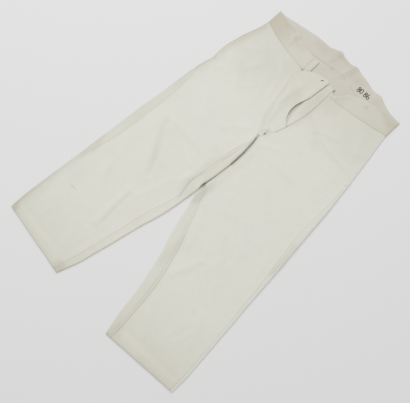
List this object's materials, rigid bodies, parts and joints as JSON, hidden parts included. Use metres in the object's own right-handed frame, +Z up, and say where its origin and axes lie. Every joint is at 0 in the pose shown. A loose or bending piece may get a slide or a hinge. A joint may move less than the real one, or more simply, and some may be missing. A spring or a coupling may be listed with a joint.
{
  "type": "drill trousers",
  "caption": "Straight wide-legged cotton drill trousers laid flat, front up, with an open fly, a buttonholed fly flap, a plain waistband and turned-up hems.",
  "frame": {"origin": "on the floor under the middle of the laid garment's bounding box", "axes": "+Y from the hems to the waist, +X to the wearer's left leg, +Z up from the floor through the front"},
  "size_m": [0.7114, 1.0798, 0.01],
  "materials": {
    "cotton_drill": "matt warm off-white twill"
  },
  "bodies": {
    "root": {"back_right": "cotton_drill", "back_left": "cotton_drill", "front_right": "cotton_drill", "front_left": "cotton_drill", "waistband_right": "cotton_drill", "waistband_left": "cotton_drill", "fly_flap": "cotton_drill", "button_stand": "cotton_drill"}
  },
  "joints": []
}
